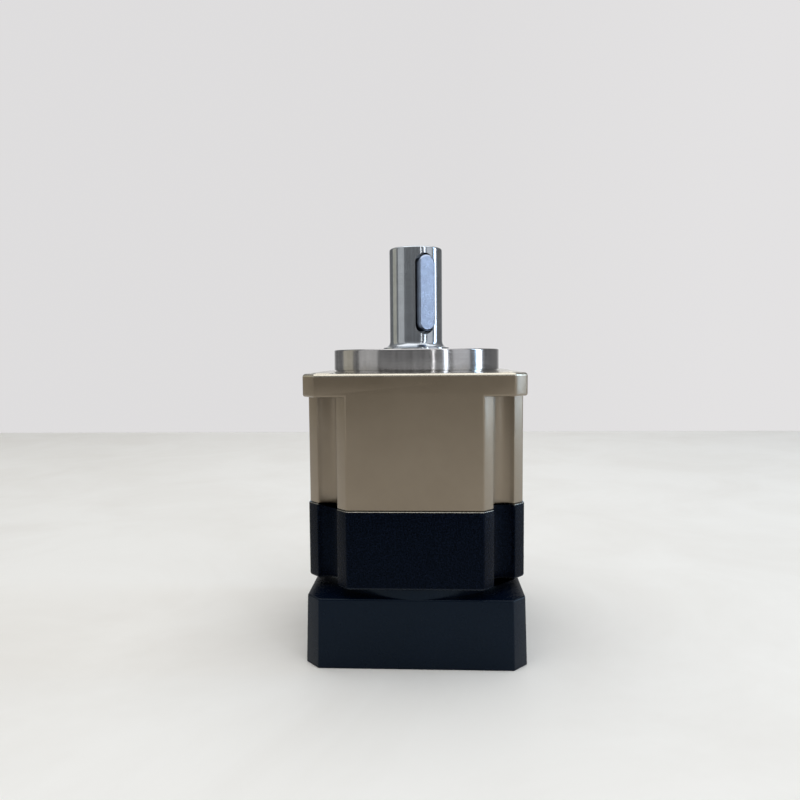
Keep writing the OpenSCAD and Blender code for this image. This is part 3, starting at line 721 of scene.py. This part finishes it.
def pilot_sleeve():
    """Turned sleeve that centres the gearbox and holds the output bearings and seal."""
    race_r, _, race_top = box_mm("front_bearing_outer_race")[1]
    race_r += SEAT
    race_stop = race_top + 2 * SEAT
    outer_r = SLEEVE_R - SEAT
    foot_low = FLANGE_TOP - FOOT_DEPTH + SEAT
    relief_r = PILOT_R - RELIEF_DEPTH
    relief_top = FLANGE_TOP + RELIEF_ABOVE_FLANGE
    seal_low = heights("output_seal")[0] - 0.1
    stop_r = SEAL_SEAT_R - SEAL_SHOULDER
    profile = [
        (race_r, SLEEVE_LOW), (outer_r, SLEEVE_LOW), (outer_r, foot_low), (relief_r, foot_low),
        (relief_r, relief_top), (PILOT_R, relief_top + 0.1), (PILOT_R, PILOT_TOP),
        (SEAL_SEAT_R, PILOT_TOP), (SEAL_SEAT_R, seal_low), (stop_r, seal_low),
        (stop_r, race_stop), (race_r, race_stop),
    ]
    radii = [0, 0.25, 0, 0, 0, 0.05, 0.4, 0.25, 0, 0, 0, 0]
    finish_piece(lathe("pilot_sleeve_turned", fillet(profile, radii)), "pilot_sleeve", "casing")


# ---------------------------------------------------------------- shaft and key


def key_outline(r, length):
    """Round-ended bar's outline, with its length along Y."""
    ends = [math.pi * i / 16 for i in range(17)]
    outline = [(r * math.cos(a), length / 2 - r + r * math.sin(a)) for a in ends]
    return outline + [(-x, -y) for x, y in outline]


def stand_on_shaft(bar):
    """Stands a bar along the shaft at the key's place. Its height becomes the distance from the axis."""
    moved(bar, turn=(90, 0, 0))
    return moved(bar, z=(KEY_LOW + KEY_HIGH) / 2, turn=(0, 0, KEY_TURN))


def output_key():
    """Parallel key with round ends and chamfered edges, standing in its slot in the shaft."""
    outline = key_outline(KEY_W / 2 - SEAT, KEY_HIGH - KEY_LOW)
    floor_r = SHAFT_R - KEY_DEPTH
    top_r = floor_r + KEY_H
    key = prism("output_key_bar", outline, outline, floor_r + SEAT, top_r, 0.1, KEY_EDGE, steps=1)
    finish_piece(stand_on_shaft(key), "output_key", "output")


def output_shaft():
    """Keyed shaft with its seal collar, bearing seats and planet disc."""
    disc_r = box_mm("output_shaft")[1].x
    race_low = heights("rear_bearing_inner_race")[0] - SEAT
    clip_low, clip_high = heights("shaft_retaining_ring")
    flare_low = PILOT_TOP + COLLAR_ABOVE_PILOT
    profile = [
        (0, DISC_LOW), (disc_r, DISC_LOW), (disc_r, DISC_TOP), (DISC_SHOULDER_R, DISC_TOP),
        (DISC_SHOULDER_R, race_low), (COLLAR_R - SEAT, race_low), (COLLAR_R - SEAT, clip_low - CLIP_SLACK),
        (SHAFT_CLIP_R, clip_low - CLIP_SLACK), (SHAFT_CLIP_R, clip_high + CLIP_SLACK),
        (COLLAR_R, clip_high + CLIP_SLACK), (COLLAR_R, flare_low),
        (SHAFT_R, flare_low), (SHAFT_R, SHAFT_TOP), (0, SHAFT_TOP),
    ]
    radii = [0, 0.3, 0.3, 0, 0, 0, 0, 0, 0, 0, 0.08, FLARE_R, SHAFT_END_ROUND, 0]
    shaft = lathe("output_shaft_turned", fillet(profile, radii))
    for post_turn in POST_TURNS:
        a = math.radians(post_turn)
        x, y = POST_ORBIT_R * math.cos(a), POST_ORBIT_R * math.sin(a)
        post = [(0, POST_LOW), (POST_R, POST_LOW), (POST_R, DISC_LOW + OVER), (0, DISC_LOW + OVER)]
        combine(shaft, moved(lathe("post", post), x, y), "UNION")
        cut(shaft, hole(M3_TAP_R, POST_LOW - OVER, POST_LOW + POST_THREAD_L, x, y))
        a = math.radians(post_turn + 60)
        x, y = PIN_ORBIT_R * math.cos(a), PIN_ORBIT_R * math.sin(a)
        cut(shaft, hole(PIN_R, DISC_LOW - OVER, DISC_TOP + OVER, x, y))
    cut(shaft, hole(M5_TAP_R, SHAFT_TOP - CENTRE_THREAD_L, SHAFT_TOP, lip=0.7))
    for half_width, length, floor_r in (
        (KEY_W / 2, SLOT_L, SHAFT_R - KEY_DEPTH),
        (KEY_W / 2 + SLOT_LIP, SLOT_L + 2 * SLOT_LIP, SHAFT_R - KEY_DEPTH / 2),
    ):
        slot = key_outline(half_width, length)
        cut(shaft, stand_on_shaft(prism("cutter", slot, slot, floor_r, SHAFT_R + 2 * OVER)))
    finish_piece(shaft, "output_shaft", "output")


gearbox_body()
input_housing()
motor_adapter()
pilot_sleeve()
output_shaft()
output_key()

# ---------------------------------------------------------------- stage, lights, camera


def floor_material():
    """Pale stone table with soft marks."""
    s = Shader("floor", Roughness=0.55)
    marks = s.noise(0.012, 5, 0.65, distortion=0.6)
    s.set("Base Color", s.ramp(marks, (0.35, (0.825, 0.815, 0.79)), (0.6, (0.865, 0.86, 0.84))))
    s.bump((s.noise(0.3, 4), 0.02))
    return s.material


def make_floor(reach_m=0.52):
    """Table top that reaches this far from the gearbox on every side."""
    bm = bmesh.new()
    bmesh.ops.create_grid(bm, x_segments=1, y_segments=1, size=reach_m)
    mesh = bpy.data.meshes.new("floor")
    bm.to_mesh(mesh)
    bm.free()
    floor = bpy.data.objects.new("floor", mesh)
    bpy.context.scene.collection.objects.link(floor)
    floor.data.materials.append(floor_material())


LIGHT_TARGET_M = Vector((0, 0, 0.06))


def area_light(name, azimuth, elevation, distance_m, width_m, height_m, power, colour):
    """Soft light aimed at the gearbox. Azimuth 0 is the camera's side and 90 the right."""
    data = bpy.data.lights.new(name, "AREA")
    data.shape = "RECTANGLE"
    data.size = width_m
    data.size_y = height_m
    data.energy = power
    data.color = colour
    lamp = bpy.data.objects.new(name, data)
    a, e = math.radians(azimuth), math.radians(elevation)
    away = Vector((math.sin(a) * math.cos(e), -math.cos(a) * math.cos(e), math.sin(e)))
    lamp.location = LIGHT_TARGET_M + away * distance_m
    lamp.rotation_euler = (-away).to_track_quat("-Z", "Y").to_euler()
    bpy.context.scene.collection.objects.link(lamp)


def make_world():
    """Dim room with soft upright bands, a brighter back wall and a light sky above."""
    world = bpy.data.worlds.new("studio")
    world.use_nodes = True
    tree = world.node_tree
    tree.nodes.clear()

    def node(kind, **values):
        made = tree.nodes.new(kind)
        for socket, value in values.items():
            made.inputs[socket.replace("_", " ")].default_value = value
        return made

    def remap(value, low, high, to_low, to_high):
        made = node("ShaderNodeMapRange", From_Min=low, From_Max=high, To_Min=to_low, To_Max=to_high)
        tree.links.new(value, made.inputs["Value"])
        return made.outputs["Result"]

    def calculate(operation, a, b):
        made = node("ShaderNodeMath")
        made.operation = operation
        tree.links.new(a, made.inputs[0])
        tree.links.new(b, made.inputs[1])
        return made.outputs[0]

    x, y, z = split_direction(tree)
    bands = node("ShaderNodeTexNoise", Scale=12.0, Detail=4.0, Roughness=0.75)
    bands.noise_dimensions = "1D"
    tree.links.new(calculate("ARCTAN2", x, y), bands.inputs["W"])
    wall = remap(y, 0.86, 0.98, 0.185, 0.72)
    walls = calculate("MULTIPLY", wall, remap(bands.outputs["Fac"], 0.35, 0.65, 0.5, 1.6))
    lit = node("ShaderNodeBackground", Color=(1, 0.995, 0.99, 1))
    tree.links.new(calculate("ADD", walls, remap(z, 0.4, 0.7, 0, 0.22)), lit.inputs["Strength"])
    seen = node("ShaderNodeBackground", Color=(0.735, 0.725, 0.73, 1))
    tree.links.new(remap(x, 0.05, 0.4, 1, 1.045), seen.inputs["Strength"])
    rays = node("ShaderNodeLightPath")
    mix = node("ShaderNodeMixShader")
    tree.links.new(rays.outputs["Is Camera Ray"], mix.inputs["Fac"])
    tree.links.new(lit.outputs[0], mix.inputs[1])
    tree.links.new(seen.outputs[0], mix.inputs[2])
    out = node("ShaderNodeOutputWorld")
    tree.links.new(mix.outputs[0], out.inputs["Surface"])
    bpy.context.scene.world = world


def split_direction(tree):
    """The world direction's x, y and z."""
    coords = tree.nodes.new("ShaderNodeTexCoord")
    split = tree.nodes.new("ShaderNodeSeparateXYZ")
    tree.links.new(coords.outputs["Generated"], split.inputs[0])
    return split.outputs


def make_camera():
    """Close camera at the pilot's height, placed where the gearbox lines up with the photo."""
    place_m = (0.00454, -0.19669, 0.08365)
    aim = Vector((-0.0489, 0.9966, -0.0663))
    roll_degrees = -0.48
    data = bpy.data.cameras.new("camera")
    data.sensor_width = 36
    data.lens = 28.8
    data.clip_start = 0.01
    camera = bpy.data.objects.new("camera", data)
    camera.location = place_m
    camera.rotation_mode = "QUATERNION"
    roll = Euler((0, 0, math.radians(roll_degrees))).to_quaternion()
    camera.rotation_quaternion = aim.to_track_quat("-Z", "Y") @ roll
    bpy.context.scene.collection.objects.link(camera)
    bpy.context.scene.camera = camera


make_floor()
make_world()
make_camera()
# Name, azimuth and elevation in degrees, then distance, width and height in metres, power and colour
area_light("ceiling", 0, 90, 1.0, 1.4, 1.4, 9.5, (1, 0.99, 0.97))
area_light("window_right", 91, 12, 0.9, 0.07, 0.9, 0.6, (0.2, 0.58, 1.0))
area_light("window_glow", 95, 12, 0.95, 0.17, 0.8, 2.2, (0.78, 0.89, 1.0))
area_light("panel_right", 64, 14, 0.95, 0.45, 0.9, 0.85, (0.95, 0.97, 1.0))
area_light("strip_right", 41, 14, 0.9, 0.06, 0.9, 1.0, (0.82, 0.9, 1.0))
area_light("strip_thin", 24, 14, 0.9, 0.016, 0.9, 0.3, (1, 1, 1))
area_light("panel_left", -67, 14, 0.9, 0.5, 0.7, 0.5, (1, 0.99, 0.95))
area_light("warm_left", -105, 14, 0.95, 0.4, 0.7, 0.35, (1, 0.92, 0.68))
bpy.context.scene.view_settings.view_transform = "Standard"
